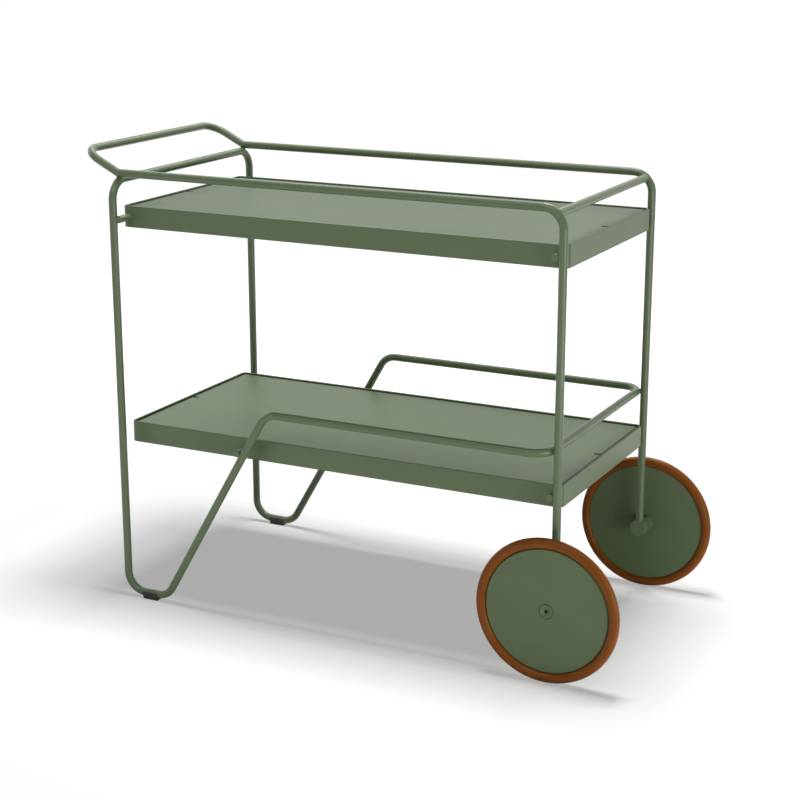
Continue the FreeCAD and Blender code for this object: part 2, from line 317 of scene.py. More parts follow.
@dataclass(frozen=True)
class CastTyre(Finish):
    """A cast tyre: its tread is scuffed by the floor, its sides keep the mould's even colour."""

    scuff: str = "#9a5a26"
    scuff_width_mm: float = 5.0
    scuff_share: float = 0.55

    def tread(self, tree: bpy.types.NodeTree, place: bpy.types.NodeSocket) -> bpy.types.NodeSocket:
        """How much of the scuff shows, from 0 at the sides to its full share at the outer edge.

        Args:
            tree: The material's tree.
            place: Object coordinates.

        Returns:
            The socket that gives the share.
        """
        edge = extent(Side.NEAR.node("tyre")).z / 2
        share = add_node(tree, "ShaderNodeMapRange", {"interpolation_type": "SMOOTHSTEP"}, {
            "Value": axle_distance(tree, place), "From Min": edge - self.scuff_width_mm * MM,
            "From Max": edge, "To Max": self.scuff_share})
        return share.outputs["Result"]

    def tone(self, tree: bpy.types.NodeTree, place: bpy.types.NodeSocket) -> bpy.types.NodeSocket:
        """The cast colour, paler on the scuffed tread.

        Args:
            tree: The material's tree.
            place: Object coordinates.

        Returns:
            The socket that gives the colour.
        """
        cast = super().tone(tree, place)
        blend = add_node(tree, "ShaderNodeMix", {"data_type": "RGBA"}, {
            "Factor": self.tread(tree, place), MIX_FIRST: cast, MIX_SECOND: linear(self.scuff)})
        return blend.outputs[MIX_RESULT]


@dataclass(frozen=True)
class BoltCoat(Finish):
    """A coated bolt whose socket is painted black, as painted shade for the deep hole."""

    # Painted shade: this black stands in for the shadow deep in the socket.
    socket_shade: str = "#0b0b0a"
    socket_mm: float = 2.9

    def tone(self, tree: bpy.types.NodeTree, place: bpy.types.NodeSocket) -> bpy.types.NodeSocket:
        """The coat's colour, and black painted shade in the socket.

        Args:
            tree: The material's tree.
            place: Object coordinates.

        Returns:
            The socket that gives the colour.
        """
        coat = super().tone(tree, place)
        # Painted shade: everything nearer the axle than socket_mm, which is the socket, is painted
        # black.
        inside = add_node(tree, "ShaderNodeMath", {"operation": "LESS_THAN"}, {
            0: axle_distance(tree, place), 1: self.socket_mm * MM})
        blend = add_node(tree, "ShaderNodeMix", {"data_type": "RGBA"}, {
            "Factor": inside.outputs["Value"], MIX_FIRST: coat, MIX_SECOND: linear(self.socket_shade)})
        return blend.outputs[MIX_RESULT]


# The two near tones of the coat, on the frame and trays and on the wheels.
FRAME_GREEN, FRAME_DRIFT = "#6a7b59", "#6d7e5b"
WHEEL_GREEN, WHEEL_DRIFT = "#647452", "#687856"

# Polyester powder coat, sprayed on and baked: an even satin grey-green that flows over the welds.
# The orange peel of a baked coat is about 1 mm wide and is drawn at 3 mm on all the coats, because
# it would not show at this distance. Their specular levels are low, because the surround that the
# cart mirrors is white on all sides and a real one is darker.
FRAME_COAT = Finish(
    title="green polyester powder coat, baked satin", slot="green_powder_coat",
    colour=FRAME_GREEN, drift=FRAME_DRIFT, patch_mm=70.0, gloss=(0.29, 0.31), gloss_mm=18.0,
    grain_mm=3.0, grain_height_mm=0.0015, specular=0.4)

# The same coat on the tray bands, a little duller on the flat faces.
BAND_COAT = Finish(
    title="green polyester powder coat on folded strip, baked satin", slot="green_powder_coat",
    colour=FRAME_GREEN, drift=FRAME_DRIFT, patch_mm=70.0, gloss=(0.37, 0.39), gloss_mm=18.0,
    grain_mm=3.0, grain_height_mm=0.003, specular=0.35)

# The same coat on the wide tray panels, where it settled duller, with a pale sheen at a low angle.
PANEL_COAT = Finish(
    title="green polyester powder coat on flat sheet, baked dull satin", slot="green_powder_coat",
    colour=FRAME_GREEN, drift=FRAME_DRIFT, patch_mm=90.0, gloss=(0.44, 0.46), gloss_mm=40.0,
    grain_mm=3.0, grain_height_mm=0.003, specular=0.42)

# The same coat on a turned aluminium disc, where the flat face shows the peel best.
DISC_COAT = Finish(
    title="green powder coat on turned aluminium, baked satin", slot="green_coated_disc",
    colour=WHEEL_GREEN, drift=WHEEL_DRIFT, patch_mm=60.0, gloss=(0.42, 0.46), gloss_mm=22.0,
    grain_mm=3.0, grain_height_mm=0.003, specular=0.25)

# The disc's tone on a steel bolt, whose socket is painted black as painted shade, so it shows as a
# black dot.
BOLT_COAT = BoltCoat(
    title="green powder coat on a steel bolt, baked satin", slot="green_powder_coat",
    colour=WHEEL_GREEN, drift=WHEEL_DRIFT, patch_mm=60.0, gloss=(0.42, 0.46), gloss_mm=22.0,
    grain_mm=3.0, grain_height_mm=0.003, specular=0.25)

# Cast polyurethane: a warm brown with a soft satin skin from the mould, paler where it rolls.
TYRE_BROWN = CastTyre(
    title="brown polyurethane, cast in a polished mould", slot="brown_rubber",
    colour="#834914", drift="#894d17", patch_mm=30.0, gloss=(0.28, 0.32), gloss_mm=12.0,
    grain_mm=2.5, grain_height_mm=0.002, ior=1.49, specular=0.12)

# Injection moulded polyamide: near black with a matt spark-eroded grain. The grain is 0.4 mm and is
# drawn at 1.2 mm, because it would not show at this distance.
GLIDE_BLACK = Finish(
    title="black polyamide, moulded with a matt grain", slot="black_plastic",
    colour="#141414", drift="#1a1a19", patch_mm=15.0, gloss=(0.48, 0.60), gloss_mm=5.0,
    grain_mm=1.2, grain_height_mm=0.06, ior=1.53, specular=0.45)

# Acetal bushes: a milky off-white with a smooth turned skin.
BUSH_WHITE = Finish(
    title="natural acetal, turned smooth", slot="bush_plastic",
    colour="#d5cfc1", drift="#ddd8cb", patch_mm=12.0, gloss=(0.32, 0.42), gloss_mm=6.0,
    grain_mm=0.8, grain_height_mm=0.02, ior=1.48)

# Zinc plated steel: a cool bright grey whose crystals dull it in small cloudy patches.
SCREW_ZINC = Finish(
    title="zinc plated steel, clear passivated", slot="zinc_steel",
    colour="#b9bcbb", drift="#c8c9c4", patch_mm=4.0, gloss=(0.26, 0.42), gloss_mm=3.0,
    grain_mm=0.6, grain_height_mm=0.01, metallic=1.0)

# The finish of the CAD nodes of each slot.
FINISHES = {finish.slot: finish for finish in (
    FRAME_COAT, DISC_COAT, TYRE_BROWN, GLIDE_BLACK, BUSH_WHITE, SCREW_ZINC)}


def sharp_edges(mesh: bmesh.types.BMesh, least: float = SHARP_TURN) -> list[bmesh.types.BMEdge]:
    """Finds the edges of a mesh that turn sharply.

    Args:
        mesh: The mesh.
        least: The least angle between the two faces of such an edge.

    Returns:
        The sharp edges.
    """
    return [e for e in mesh.edges if len(e.link_faces) == 2 and e.calc_face_angle() > least]


def soften(mesh: bmesh.types.BMesh, edges: Iterable[bmesh.types.BMEdge], radius: float,
           steps: int = 3) -> None:
    """Rounds edges of a mesh.

    Args:
        mesh: The mesh.
        edges: The edges to round.
        radius: How far the rounding reaches from the edge.
        steps: How many faces make the rounding.
    """
    bmesh.ops.bevel(mesh, geom=list(edges), offset=radius, offset_type="OFFSET", affect="EDGES",
                    segments=steps, profile=0.5, material=-1, clamp_overlap=True)


def push(mesh: bmesh.types.BMesh, face: bmesh.types.BMFace, move: Vector,
         keep_base: bool = False) -> list[bmesh.types.BMVert]:
    """Pushes a face out of a mesh, with walls between its old place and its new one.

    Args:
        mesh: The mesh.
        face: The face.
        move: How far and which way it goes.
        keep_base: Whether the old face stays, as it must where the face is all that there is.

    Returns:
        The vertices of the moved face.
    """
    made = bmesh.ops.extrude_face_region(mesh, geom=[face])
    moved = [v for v in made["geom"] if isinstance(v, bmesh.types.BMVert)]
    bmesh.ops.translate(mesh, verts=moved, vec=move)
    if not keep_base:
        bmesh.ops.delete(mesh, geom=[face], context="FACES_ONLY")
    return moved


def close_up(mesh: bmesh.types.BMesh) -> None:
    """Merges a mesh's doubles and turns its faces outwards."""
    bmesh.ops.remove_doubles(mesh, verts=mesh.verts, dist=MERGE_GAP)
    bmesh.ops.recalc_face_normals(mesh, faces=mesh.faces)


def weighted_normal(vert: bmesh.types.BMVert) -> Vector:
    """The way a vertex faces, led by its largest faces, so that flat faces stay flat at an edge.

    Args:
        vert: The vertex.

    Returns:
        The direction, or nothing where a sharp edge ends, which keeps the mesh's own.
    """
    if not all(edge.smooth for edge in vert.link_edges):
        return Vector()
    return sum((f.normal * f.calc_area() for f in vert.link_faces), Vector()).normalized()


def set_piece(mesh: bmesh.types.BMesh, name: str, body: str, finish: Finish,
              stands_for: Iterable[str] = (), crease: float = CREASE) -> None:
    """Makes a finished mesh a piece of the cart.

    Args:
        mesh: The mesh, which is freed.
        name: The piece's name.
        body: The body that it moves with.
        finish: Its finish.
        stands_for: The CAD nodes that it replaces.
        crease: Edges that turn by more than this stay sharp in the shading.
    """
    for face in mesh.faces:
        face.smooth = True
    for edge in sharp_edges(mesh, crease):
        edge.smooth = False
    facing = [weighted_normal(vert) for vert in mesh.verts]
    data = bpy.data.meshes.new(name)
    mesh.to_mesh(data)
    mesh.free()
    data.normals_split_custom_set_from_vertices(facing)
    piece = bpy.data.objects.new(name, data)
    bpy.context.scene.collection.objects.link(piece)
    data.materials.append(finish.material())
    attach(piece, body)
    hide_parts(*stands_for)
    LOG.info("%s: %d faces, rides on %s", name, len(data.polygons), body)


@dataclass
class Wheel:
    """One wheel: its tyre, its disc and the bolt that holds it."""

    side: Side
    turn_steps: int = 160
    tyre_steps: int = 48
    tyre_crease: float = math.radians(60)
    seam_height: float = 0.3 * MM
    disc_thickness: float = 8 * MM
    hub_radius: float = 15 * MM
    bore_radius: float = 8 * MM
    sink_clearance: float = 0.4 * MM
    disc_edge: float = 0.4 * MM
    groove_width: float = 2.4 * MM
    groove_depth: float = 3 * MM
    head_height: float = 3.5 * MM
    head_gap: float = 0.4 * MM
    head_edge: float = 0.4 * MM
    head_steps: int = 48
    socket_flats: float = 5 * MM
    socket_depth: float = 9 * MM
    shank_radius: float = 6 * MM

    def __post_init__(self) -> None:
        """Takes the wheel's place and outer sizes from the frame."""
        tyre, disc, bolt = (self.side.node(n) for n in ("tyre", "wheel_disc", "axle_bolt"))
        self.body = self.side.node("wheel")
        self.hub = middle(tyre)
        self.out = self.side.value
        self.edge_radius = extent(tyre).z / 2
        self.section_radius = extent(tyre).y / 2
        self.disc_radius = extent(disc).z / 2
        self.head_radius = extent(bolt).z / 2 - self.head_gap
        self.hub_y, self.face_y = from_middle(disc)
        self.shank_y, self.head_y = from_middle(bolt)

    def spin(self, mesh: bmesh.types.BMesh) -> None:
        """Turns a half section of the wheel once round its axle.

        Args:
            mesh: The section, which becomes the closed shape.
        """
        bmesh.ops.spin(mesh, geom=list(mesh.verts) + list(mesh.edges), cent=self.hub,
                       axis=(0, 1, 0), angle=2 * math.pi, steps=self.turn_steps, use_merge=True)
        close_up(mesh)

    def tyre(self) -> None:
        """Builds the round tyre, with the fine seam of its two-part mould round the tread."""
        mesh = bmesh.new()
        ring = self.edge_radius - self.section_radius
        bmesh.ops.create_circle(
            mesh, segments=self.tyre_steps, radius=self.section_radius - self.seam_height,
            matrix=Matrix.Translation(self.hub + Vector((ring, 0, 0))))
        outermost = max(mesh.verts, key=lambda v: v.co.x)
        bmesh.ops.translate(mesh, verts=[outermost], vec=(self.seam_height, 0, 0))
        self.spin(mesh)
        set_piece(mesh, self.side.node("tyre_cast"), self.body, TYRE_BROWN,
                  [self.side.node("tyre")], crease=self.tyre_crease)

    def disc(self) -> None:
        """Builds the turned disc: a hub behind, a groove beside the tyre, a sink for the bolt."""
        mesh = bmesh.new()
        back = self.face_y - self.disc_thickness
        sink = self.face_y - self.head_height
        sink_radius = self.head_radius + self.head_gap + self.sink_clearance
        section = (
            (self.bore_radius, self.hub_y), (self.hub_radius, self.hub_y),
            (self.hub_radius, back), (self.disc_radius, back),
            (self.disc_radius, self.face_y - self.groove_depth),
            (self.disc_radius - self.groove_width, self.face_y),
            (sink_radius, self.face_y), (sink_radius, sink), (self.bore_radius, sink))
        corners = [mesh.verts.new((self.hub.x + r, self.out * y, self.hub.z)) for r, y in section]
        for start, end in zip(corners, corners[1:] + corners[:1]):
            mesh.edges.new((start, end))
        self.spin(mesh)
        soften(mesh, sharp_edges(mesh), self.disc_edge)
        set_piece(mesh, self.side.node("disc_turned"), self.body, DISC_COAT,
                  [self.side.node("wheel_disc")])

    def bolt(self) -> None:
        """Builds the flush bolt: a flat round head with a hexagon socket, and its shank."""
        mesh = bmesh.new()
        bmesh.ops.create_circle(mesh, cap_ends=True, segments=self.head_steps,
                                radius=self.head_radius)
        top = push(mesh, list(mesh.faces)[0], Vector((0, 0, self.head_height)), keep_base=True)
        bmesh.ops.recalc_face_normals(mesh, faces=mesh.faces)
        soften(mesh, [e for e in mesh.edges if all(v in top for v in e.verts)], self.head_edge)
        self.add_shank(mesh)
        self.sink_socket(mesh)
        close_up(mesh)
        stand = Matrix.Rotation(-self.out * math.pi / 2, 4, "X")
        seat = Vector((self.hub.x, self.out * (self.head_y - self.head_height), self.hub.z))
        bmesh.ops.transform(mesh, matrix=Matrix.Translation(seat) @ stand, verts=mesh.verts)
        set_piece(mesh, self.side.node("bolt_turned"), FRAME_BODY, BOLT_COAT,
                  [self.side.node("axle_bolt")])

    def end_face(self, mesh: bmesh.types.BMesh, way: int) -> bmesh.types.BMFace:
        """Finds the flat end of the bolt as it stands on the drawing.

        Args:
            mesh: The bolt.
            way: 1 for the end on top and -1 for the end below.

        Returns:
            The largest of the faces that lie furthest that way, to a micron.
        """
        return max(mesh.faces, key=lambda f: (
            round(way * f.calc_center_median().z / MM, 3), f.calc_area()))

    def add_shank(self, mesh: bmesh.types.BMesh) -> None:
        """Draws the shank out of the back of the bolt's head.

        Args:
            mesh: The bolt's head, standing on its shank side.
        """
        face = self.end_face(mesh, -1)
        bmesh.ops.inset_individual(mesh, faces=[face],
                                   thickness=self.head_radius - self.shank_radius)
        push(mesh, face, Vector((0, 0, self.shank_y - self.head_y + self.head_height)))

    def sink_socket(self, mesh: bmesh.types.BMesh) -> None:
        """Sinks the socket into the bolt's head, after drawing a ring of its face to a hexagon.

        Args:
            mesh: The bolt, standing on its shank.
        """
        face = self.end_face(mesh, 1)
        bmesh.ops.inset_individual(mesh, faces=[face], thickness=self.head_radius / 2)
        sixth = math.pi / 3
        for vert in face.verts:
            turn = math.atan2(vert.co.y, vert.co.x) % sixth - sixth / 2
            vert.co.xy = vert.co.xy.normalized() * (self.socket_flats / 2 / math.cos(turn))
        push(mesh, face, Vector((0, 0, -self.socket_depth)))

    def build(self) -> None:
        """Builds the wheel's pieces."""
        self.tyre()
        self.disc()
        self.bolt()


@dataclass
class Tray:
    """One tray: its upright band and the sunk panel inside it."""

    level: Level
    corner: float = 10.5 * MM
    corner_steps: int = 10
    wall: float = 4 * MM
    sheet: float = 1.5 * MM
    lip_edge: float = 1.5 * MM
    foot_edge: float = 0.6 * MM
    bend: float = 2 * MM
    bend_turn: float = math.radians(60)
    slot_length: float = 11.5 * MM
    slot_width: float = 7 * MM
    slack: float = 0.01 * MM

    def band(self) -> None:
        """Builds the band round the tray, with rounded corners and a rounded lip."""
        node = self.level.node("tray_rim")
        mesh = bmesh.new()
        bmesh.ops.create_cube(mesh, size=1.0)
        bmesh.ops.scale(mesh, vec=extent(node), verts=mesh.verts)
        bmesh.ops.translate(mesh, vec=middle(node), verts=mesh.verts)
        upright = [e for e in mesh.edges
                   if abs(e.verts[0].co.z - e.verts[1].co.z) > self.corner]
        soften(mesh, upright, self.corner, self.corner_steps)
        lids = [f for f in mesh.faces if abs(f.normal.z) > LYING_FLAT]
        bmesh.ops.delete(mesh, geom=lids, context="FACES")
        bmesh.ops.recalc_face_normals(mesh, faces=mesh.faces)
        bmesh.ops.solidify(mesh, geom=list(mesh.faces), thickness=self.wall)
        lips = [e for e in sharp_edges(mesh, self.bend_turn)
                if all(v.co.z > middle(node).z for v in e.verts)]
        soften(mesh, lips, self.lip_edge)
        soften(mesh, sharp_edges(mesh, self.bend_turn), self.foot_edge)
        set_piece(mesh, self.level.node("tray_band"), FRAME_BODY, BAND_COAT, [node])

    def panel(self) -> None:
        """Builds the panel, its edge turned down all round and into its two drain slots."""
        node = self.level.node("tray_panel")
        skirt = self.level.node("tray_skirt")
        low, high = Vector(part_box(skirt)[0]), Vector(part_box(node)[1])
        mesh = bmesh.new()
        self.lay_flat(mesh, low, high)
        self.cut_slots(mesh, low.x, high.x)
        self.turn_down(mesh, low.z - high.z)
        bmesh.ops.solidify(mesh, geom=list(mesh.faces), thickness=self.sheet)
        bends = [e for e in sharp_edges(mesh, self.bend_turn)
                 if all(v.co.z > high.z - self.slack for v in e.verts)]
        soften(mesh, bends, self.bend)
        set_piece(mesh, self.level.node("tray_sheet"), FRAME_BODY, PANEL_COAT, [node, skirt])

    def lay_flat(self, mesh: bmesh.types.BMesh, low: Vector, high: Vector) -> None:
        """Lays the panel's flat sheet, its corners rounded to run beside the band's.

        Args:
            mesh: The mesh that takes the sheet.
            low: The lowest corner of the panel and its skirt.
            high: Their highest corner.
        """
        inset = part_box(self.level.node("tray_rim"))[1].x - high.x
        bmesh.ops.create_grid(mesh, x_segments=1, y_segments=1, size=0.5)
        bmesh.ops.scale(mesh, vec=(high.x - low.x, high.y - low.y, 1.0), verts=mesh.verts)
        bmesh.ops.translate(mesh, verts=mesh.verts,
                            vec=((low.x + high.x) / 2, (low.y + high.y) / 2, high.z))
        bmesh.ops.bevel(mesh, geom=list(mesh.verts), offset=self.corner - inset,
                        affect="VERTICES", segments=self.corner_steps, profile=0.5, material=-1)

    def cut_slots(self, mesh: bmesh.types.BMesh, start: float, end: float) -> None:
        """Cuts a drain slot into the flat sheet at the middle of each short side.

        Args:
            mesh: The flat sheet.
            start: The panel's edge at the handle end.
            end: The panel's edge at the wheel end.
        """
        along, across = (1, 0, 0), (0, 1, 0)
        cuts = (((start + self.slot_length, 0, 0), along), ((end - self.slot_length, 0, 0), along),
                ((0, self.slot_width / 2, 0), across), ((0, -self.slot_width / 2, 0), across))
        for point, way in cuts:
            everything = list(mesh.verts) + list(mesh.edges) + list(mesh.faces)
            bmesh.ops.bisect_plane(mesh, geom=everything, plane_co=point, plane_no=way)
        slots = [f for f in mesh.faces if self.in_slot(f.calc_center_median(), start, end)]
        bmesh.ops.delete(mesh, geom=slots, context="FACES")

    def in_slot(self, spot: Vector, start: float, end: float) -> bool:
        """Tells whether a spot of the panel lies in a drain slot.

        Args:
            spot: The spot.
            start: The panel's edge at the handle end.
            end: The panel's edge at the wheel end.

        Returns:
            True where a slot is.
        """
        from_end = min(spot.x - start, end - spot.x)
        return from_end < self.slot_length and abs(spot.y) < self.slot_width / 2

    def turn_down(self, mesh: bmesh.types.BMesh, drop: float) -> None:
        """Turns the sheet's edge down all round and in the slots.

        Args:
            mesh: The flat sheet with its slots.
            drop: How far the edge goes, which is below zero.
        """
        made = bmesh.ops.extrude_edge_only(mesh, edges=[e for e in mesh.edges if e.is_boundary])
        flange = [v for v in made["geom"] if isinstance(v, bmesh.types.BMVert)]
        bmesh.ops.translate(mesh, verts=flange, vec=(0, 0, drop))
        bmesh.ops.recalc_face_normals(mesh, faces=mesh.faces)

    def build(self) -> None:
        """Builds the tray's pieces."""
        self.band()
        self.panel()


@dataclass
class Foot:
    """The black glide under one bent foot: a saddle that clasps the tube, on a flat sole."""

    side: Side
    wall: float = 1.8 * MM
    sole_width: float = 12 * MM
    wrap: float = 3 * MM
    press: float = 0.1 * MM
    edge: float = 0.8 * MM
    edge_turn: float = math.radians(50)
    arc_steps: int = 20

    def arc(self, mesh: bmesh.types.BMesh, cent: Vector, start_y: float,
            angle: float) -> list[bmesh.types.BMVert]:
        """Draws an arc of the saddle's section round the tube, from the top of the saddle.

        Args:
            mesh: The mesh that takes the arc.
            cent: The tube's middle.
            start_y: How far across from the middle the arc starts.
            angle: How far it turns.

        Returns:
            The arc's two ends.
        """
        first = mesh.verts.new(cent + Vector((0, start_y, self.wrap)))
        made = bmesh.ops.spin(mesh, geom=[first], cent=cent, axis=(1, 0, 0), angle=angle,
                              steps=self.arc_steps)
        return [first, made["geom_last"][0]]

    def section(self, mesh: bmesh.types.BMesh, cent: Vector, floor_z: float) -> None:
        """Draws the saddle's section as one upright face.

        Args:
            mesh: The mesh that takes the face.
            cent: The tube's middle, at one end of the glide.
            floor_z: The height of the sole.
        """
        inner, outer = tube_radius() - self.press, tube_radius() + self.wall
        lip, brim = math.asin(self.wrap / inner), math.asin(self.wrap / outer)
        waist = math.acos(self.sole_width / 2 / outer)
        hold = self.arc(mesh, cent, inner * math.cos(lip), -(math.pi + 2 * lip))
        right = self.arc(mesh, cent, outer * math.cos(brim), -(brim + waist))
        left = self.arc(mesh, cent, -outer * math.cos(brim), brim + waist)
        sole = [mesh.verts.new((cent.x, cent.y + side * self.sole_width / 2, floor_z))
                for side in (1, -1)]
        for start, end in ((hold[0], right[0]), (right[1], sole[0]), (sole[0], sole[1]),
                           (sole[1], left[1]), (left[0], hold[1])):
            mesh.edges.new((start, end))
        bmesh.ops.contextual_create(mesh, geom=list(mesh.edges))

    def build(self) -> None:
        """Builds the glide."""
        node = self.side.node("foot_glide")
        low, high = (Vector(c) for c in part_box(node))
        mesh = bmesh.new()
        self.section(mesh, Vector((low.x, (low.y + high.y) / 2, high.z - self.wrap)), low.z)
        push(mesh, list(mesh.faces)[0], Vector((high.x - low.x, 0, 0)), keep_base=True)
        close_up(mesh)
        soften(mesh, sharp_edges(mesh, self.edge_turn), self.edge)
        # Where the rounding takes up a whole step of the arc, it leaves doubles.
        close_up(mesh)
        set_piece(mesh, self.side.node("glide_moulded"), FRAME_BODY, GLIDE_BLACK, [node])


@dataclass
class Welds:
    """The coated weld beads where tubes and bosses of the frame meet."""

    bend_radius: float = 35 * MM
    bead: float = 1.0 * MM
    touch_ring: float = 4.0 * MM
    turn_steps: int = 48
    bead_steps: int = 4
    bead_crease: float = math.radians(70)

    def __post_init__(self) -> None:
        """Takes the tubes' radius and axes from the frame."""
        self.tube_radius = tube_radius()
        rail_high = Vector(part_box("far_top_rail")[1])
        strut_low, strut_high = (Vector(c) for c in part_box("far_leg_strut"))
        self.rail_y = rail_high.y - self.tube_radius
        self.rail_z = rail_high.z - self.tube_radius
        self.leg_x = rail_high.x - self.tube_radius
        self.side_y = strut_high.y - self.tube_radius
        self.handle_leg_x = strut_low.x + self.tube_radius

    def lay(self, name: str, routes: Iterable[list[Vector]]) -> None:
        """Lays a closed bead along each route and makes them one piece.

        Args:
            name: The piece's name.
            routes: The points of each bead.
        """
        line = bpy.data.curves.new(name, "CURVE")
        line.dimensions = "3D"
        line.bevel_depth = self.bead
        line.bevel_resolution = self.bead_steps
        for points in routes:
            spline = line.splines.new("POLY")
            spline.points.add(len(points) - 1)
            for spot, place in zip(spline.points, points):
                spot.co = (*place, 1.0)
            spline.use_cyclic_u = True
        carrier = bpy.data.objects.new(name, line)
        bpy.context.scene.collection.objects.link(carrier)
        bpy.context.view_layer.update()
        drawn = carrier.evaluated_get(bpy.context.evaluated_depsgraph_get())
        laid = bpy.data.meshes.new_from_object(drawn)
        mesh = bmesh.new()
        mesh.from_mesh(laid)
        bpy.data.objects.remove(carrier)
        bpy.data.meshes.remove(laid)
        close_up(mesh)
        set_piece(mesh, name, FRAME_BODY, FRAME_COAT, crease=self.bead_crease)

    def turns(self, route: Callable[[float], Vector]) -> list[Vector]:
        """Points of a closed route, one for each step of a full turn."""
        return [route(2 * math.pi * i / self.turn_steps) for i in range(self.turn_steps)]

    def crossbar_seam(self, side: Side) -> list[Vector]:
        """The saddle-shaped seam where the crossbar meets the bend of a top rail.

        Args:
            side: Which rail.

        Returns:
            The seam's points.
        """
        axis = middle("wheel_end_crossbar")
        bend = Vector((self.leg_x - self.bend_radius, axis.y, self.rail_z - self.bend_radius))
        away = (axis - bend).normalized()
        along = Vector((-away.z, 0, away.x))

        def spot(turn: float) -> Vector:
            """Finds a point of the seam.

            Args:
                turn: The turn round the crossbar.

            Returns:
                The point.
            """
            rim = axis + (away * math.sin(turn) + along * math.cos(turn)) * self.tube_radius
            lift = (rim - bend).length - self.bend_radius
            reach = math.sqrt(max(self.tube_radius ** 2 - lift ** 2, 0.0))
            return Vector((rim.x, side.value * (self.rail_y - reach), rim.z))

        return self.turns(spot)

    def boss_seam(self, side: Side) -> list[Vector]:
        """The seam where a wheel leg stands on its axle boss.

        Args:
            side: Which leg.

        Returns:
            The seam's points.
        """
        boss = middle(side.node("axle_boss"))
        boss_radius = extent(side.node("axle_boss")).x / 2

        def spot(turn: float) -> Vector:
            """Finds a point of the seam.

            Args:
                turn: The turn round the leg.

            Returns:
                The point.
            """
            across, deep = self.tube_radius * math.cos(turn), self.tube_radius * math.sin(turn)
            rise = math.sqrt(boss_radius ** 2 - across ** 2)
            return Vector((self.leg_x + across, side.value * self.rail_y + deep, boss.z + rise))

        return self.turns(spot)

    def touch_seam(self, side: Side, bend: Vector, other: Vector) -> list[Vector]:
        """The ring-shaped seam round the spot where a bent tube touches another.

        Args:
            side: Which side of the cart.
            bend: The middle of the bend, on the far side.
            other: Where the other tube's axis passes the bend, on the far side.

        Returns:
            The seam's points.
        """
        away = (other - bend).normalized()
        spot = bend + away * (self.bend_radius + self.tube_radius)
        spot.y, away.y = side.value * spot.y, side.value * away.y
        across = away.orthogonal().normalized()
        along = away.cross(across).normalized()
        return self.turns(lambda turn: spot + (
            across * math.cos(turn) + along * math.sin(turn)) * self.touch_ring)

    def bridge_seam(self, side: Side) -> list[Vector]:
        """The seam where a top rail lies against the bend of the leg bridge.

        Args:
            side: Which rail.

        Returns:
            The seam's points.
        """
        bend_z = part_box("leg_bridge")[1].z - self.tube_radius - self.bend_radius
        bend = Vector((self.handle_leg_x, self.side_y - self.bend_radius, bend_z))
        return self.touch_seam(side, bend, Vector((self.handle_leg_x, self.rail_y, self.rail_z)))

    def loop_seam(self, side: Side) -> list[Vector]:
        """The seam where a corner of the lower loop lies against a wheel leg.

        Args:
            side: Which leg.

        Returns:
            The seam's points.
        """
        loop_low, loop_high = (Vector(c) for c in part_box("lower_rail_loop"))
        bend_x = loop_high.x - self.tube_radius - self.bend_radius
        bend = Vector((bend_x, self.side_y - self.bend_radius, (loop_low.z + loop_high.z) / 2))
        return self.touch_seam(side, bend, Vector((self.leg_x, self.rail_y, bend.z)))

    def build(self) -> None:
        """Lays the beads, those of both sides as one piece."""
        for name, seam in (("crossbar_welds", self.crossbar_seam), ("boss_welds", self.boss_seam),
                           ("bridge_welds", self.bridge_seam), ("loop_welds", self.loop_seam)):
            self.lay(name, [seam(side) for side in Side])


def dress_frame() -> None:
    """Gives every CAD node the finish of its record slot."""
    slots = {row["node"]: row["material_slot"] for row in frame["record"]["subparts"]}
    for name, node in frame["nodes"].items():
        node.data.materials.clear()
        node.data.materials.append(FINISHES[slots[name]].material())
        LOG.info("%s: %s", name, slots[name])


@dataclass(frozen=True)
class Softbox:
    """One soft studio lamp, aimed at the middle of the cart unless it says otherwise."""

    name: str
    lights: Lit
    place: tuple[float, float, float]
    power: float
    width: float = 1.4
    depth: float = 1.4
    aim: tuple[float, float, float] = (0.0, 0.0, 0.4)

    def build(self, lit: bpy.types.Collection) -> None:
        """Sets the lamp up.

        Args:
            lit: The objects that the lamp lights.
        """
        data = bpy.data.lights.new(self.name, "AREA")
        data.shape = "RECTANGLE"
        data.size, data.size_y, data.energy = self.width, self.depth, self.power
        lamp = bpy.data.objects.new(self.name, data)
        lamp.location = self.place
        way = Vector(self.aim) - Vector(self.place)
        lamp.rotation_euler = way.to_track_quat("-Z", "Y").to_euler()
        lamp.visible_camera = False
        lamp.light_linking.receiver_collection = lit
        bpy.context.scene.collection.objects.link(lamp)


# No one set of lamps gives both the photo's floor and its cart. The overhead lamp throws the cart's
# shadow on the floor, and the others light the cart alone. The edge lamp brings out tubes and lips
# without paling the panels, and the shelf lamp lifts the lower panel out of the upper tray's shade.
LAMPS = (
    Softbox("overhead_softbox", Lit.FLOOR, (0.05, 0.13, 2.9), 112.0, 0.85, 0.8, (0.05, 0.13, 0.0)),
    Softbox("edge_softbox", Lit.EDGES, (0.0, 0.67, 2.91), 34.0, 0.8, 0.8),
    Softbox("shelf_softbox", Lit.SHELF, (0.0, -2.77, 2.0), 45.0),
    Softbox("back_softbox", Lit.CART, (0.0, 2.06, 2.85), 22.0),
    Softbox("front_softbox", Lit.CART, (0.0, -2.06, 2.85), 23.5),
    Softbox("handle_end_softbox", Lit.CART, (-2.9, 0.0, 1.75), 12.0),
    Softbox("back_corner_softbox", Lit.CART, (-1.45, 1.45, 2.85), 15.0),
    Softbox("low_wheel_end_softbox", Lit.CART, (1.87, -0.68, 0.23), 11.5, 0.8, 0.8),
)


